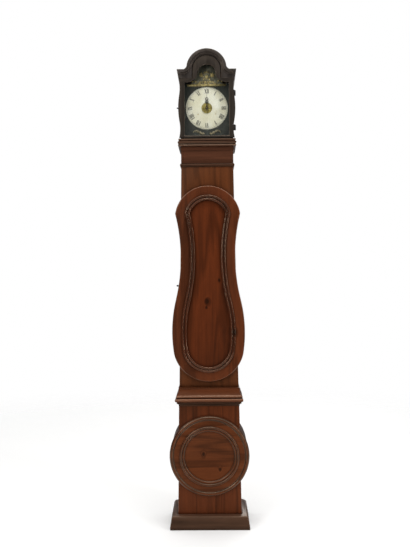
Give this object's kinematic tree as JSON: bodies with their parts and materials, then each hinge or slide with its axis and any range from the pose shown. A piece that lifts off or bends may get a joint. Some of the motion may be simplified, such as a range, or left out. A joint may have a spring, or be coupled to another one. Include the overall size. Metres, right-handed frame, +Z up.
{
  "type": "longcase clock",
  "caption": "Tall French country longcase clock with an arched hood, violin-shaped trunk door, drum base and a caged weight-driven movement with pendulum.",
  "frame": {"origin": "centre of the plinth's footprint on the floor", "axes": "+Z up along the case, -Y the front with the dial, +X to the right seen from the front"},
  "size_m": [0.3999, 0.29, 2.4],
  "materials": {
    "case_wood": "waxed red-brown stain",
    "hood_wood": "dark stained and waxed",
    "forged_iron": "forged, oiled",
    "brass": "aged, satin",
    "blued_steel": "dark blued",
    "green_paint": "matt dark green paint",
    "enamel": "glossy white enamel",
    "glass": "clear",
    "weight_iron": "rough cast",
    "rope": "twisted hemp"
  },
  "bodies": {
    "case": {"plinth": "case_wood", "base_front": "case_wood", "base_left_side": "case_wood", "base_right_side": "case_wood", "back_board": "case_wood", "drum_disc": "case_wood", "drum_cheeks": "case_wood", "waist_moulding": "case_wood", "trunk_front": "case_wood", "trunk_left_side": "case_wood", "trunk_right_side": "case_wood", "trunk_collar": "case_wood", "trunk_hinge_pins": "forged_iron", "movement_seat": "case_wood", "movement_cage": "forged_iron", "train_bars": "forged_iron", "dial_plate": "green_paint", "dial_disc": "enamel", "centre_disc": "brass", "fronton": "brass", "suspension_cock": "forged_iron", "bell": "brass", "bell_stand": "forged_iron", "going_rope": "rope", "strike_rope": "rope"},
    "trunk_door": {"trunk_door": "case_wood", "trunk_door_panel": "case_wood", "trunk_door_moulding": "case_wood", "trunk_hinge_eyes": "forged_iron", "trunk_door_pull": "forged_iron"},
    "hood": {"hood_left_side": "hood_wood", "hood_right_side": "hood_wood", "hood_frieze": "hood_wood", "hood_base_moulding": "hood_wood", "hood_cornice": "hood_wood", "hood_roof": "hood_wood", "hood_back": "hood_wood", "hood_hinge_pins": "forged_iron"},
    "hood_door": {"hood_door": "hood_wood", "hood_door_glass": "glass", "hood_hinge_eyes": "forged_iron", "hood_door_knob": "forged_iron"},
    "minute_arbor": {"centre_wheel": "brass", "minute_hand": "blued_steel"},
    "hour_pipe": {"hour_hand": "blued_steel"},
    "reverse_wheel": {"reverse_wheel": "brass"},
    "going_great_wheel": {"going_great_wheel": "brass"},
    "third_wheel": {"third_wheel": "brass"},
    "escape_wheel": {"escape_wheel": "brass"},
    "anchor": {"anchor": "forged_iron"},
    "pendulum": {"pendulum_rod": "blued_steel", "pendulum_bob": "brass"},
    "going_barrel": {"going_barrel": "brass"},
    "strike_barrel": {"strike_barrel": "brass"},
    "strike_great_wheel": {"strike_great_wheel": "brass"},
    "pin_wheel": {"pin_wheel": "brass"},
    "strike_fly": {"strike_fly": "brass"},
    "hammer": {"hammer": "forged_iron"},
    "going_weight": {"going_weight": "weight_iron"},
    "strike_weight": {"strike_weight": "weight_iron"}
  },
  "joints": [
    {"name": "hood_lift", "type": "slide", "parent": "case", "child": "hood", "axis": [0, 0, 1], "range_m": [0, 0.5]},
    {"name": "hood_door_swing", "type": "hinge", "parent": "hood", "child": "hood_door", "pos_m": [0.141, -0.084, 2.1], "axis": [0, 0, 1], "range_deg": [0, 110]},
    {"name": "trunk_door_swing", "type": "hinge", "parent": "case", "child": "trunk_door", "pos_m": [0.152, -0.079, 1.3], "axis": [0, 0, 1], "range_deg": [0, 100]},
    {"name": "minute_turn", "type": "hinge", "parent": "case", "child": "minute_arbor", "pos_m": [0, 0, 2.112], "axis": [0, 1, 0], "continuous": true},
    {"name": "hour_turn", "type": "hinge", "parent": "case", "child": "hour_pipe", "pos_m": [0, 0, 2.112], "axis": [0, 1, 0], "continuous": true},
    {"name": "reverse_turn", "type": "hinge", "parent": "case", "child": "reverse_wheel", "pos_m": [0, 0, 2.094], "axis": [0, 1, 0], "continuous": true},
    {"name": "great_turn", "type": "hinge", "parent": "case", "child": "going_great_wheel", "pos_m": [0.045, 0, 2.082], "axis": [0, 1, 0], "continuous": true},
    {"name": "third_turn", "type": "hinge", "parent": "case", "child": "third_wheel", "pos_m": [0.01437, 0, 2.14281], "axis": [0, 1, 0], "continuous": true},
    {"name": "escape_turn", "type": "hinge", "parent": "case", "child": "escape_wheel", "pos_m": [0, 0, 2.16725], "axis": [0, 1, 0], "continuous": true},
    {"name": "pendulum_swing", "type": "hinge", "parent": "case", "child": "pendulum", "pos_m": [0, 0.106, 2.202], "axis": [0, 1, 0], "range_deg": [-2.5, 2.5]},
    {"name": "anchor_swing", "type": "hinge", "parent": "case", "child": "anchor", "pos_m": [0, 0.06, 2.202], "axis": [0, 1, 0], "range_deg": [-2.5, 2.5]},
    {"name": "going_winding", "type": "hinge", "parent": "case", "child": "going_barrel", "pos_m": [0.045, 0, 2.082], "axis": [0, -1, 0], "range_deg": [0, 2080]},
    {"name": "going_weight_lift", "type": "slide", "parent": "case", "child": "going_weight", "axis": [0, 0, 1], "range_m": [0, 0.9], "deforming": ["going_rope"]},
    {"name": "strike_winding", "type": "hinge", "parent": "case", "child": "strike_barrel", "pos_m": [-0.045, 0, 2.082], "axis": [0, 1, 0], "range_deg": [0, 2080]},
    {"name": "strike_weight_lift", "type": "slide", "parent": "case", "child": "strike_weight", "axis": [0, 0, 1], "range_m": [0, 0.9], "deforming": ["strike_rope"]},
    {"name": "strike_turn", "type": "hinge", "parent": "case", "child": "strike_great_wheel", "pos_m": [-0.045, 0, 2.082], "axis": [0, 1, 0], "continuous": true},
    {"name": "pin_turn", "type": "hinge", "parent": "case", "child": "pin_wheel", "pos_m": [-0.05505, 0, 2.11951], "axis": [0, 1, 0], "continuous": true},
    {"name": "fly_turn", "type": "hinge", "parent": "case", "child": "strike_fly", "pos_m": [-0.05013, 0, 2.14743], "axis": [0, 1, 0], "continuous": true},
    {"name": "hammer_swing", "type": "hinge", "parent": "case", "child": "hammer", "pos_m": [-0.085, 0.07, 2.1], "axis": [0, 0, 1], "range_deg": [-25, 5], "stiffness_Nm_per_rad": 0.05}
  ],
  "couplings": [
    {"joint": "hour_turn", "follows": "minute_turn", "ratio": 0.083333},
    {"joint": "reverse_turn", "follows": "minute_turn", "ratio": -0.33333},
    {"joint": "great_turn", "follows": "minute_turn", "ratio": -0.083333},
    {"joint": "third_turn", "follows": "minute_turn", "ratio": -7.5},
    {"joint": "escape_turn", "follows": "minute_turn", "ratio": 60},
    {"joint": "anchor_swing", "follows": "pendulum_swing", "ratio": 1},
    {"joint": "going_winding", "follows": "going_weight_lift", "rad_per_m": 40.323},
    {"joint": "strike_winding", "follows": "strike_weight_lift", "rad_per_m": 40.323},
    {"joint": "pin_turn", "follows": "strike_turn", "ratio": -6},
    {"joint": "fly_turn", "follows": "strike_turn", "ratio": 48}
  ]
}
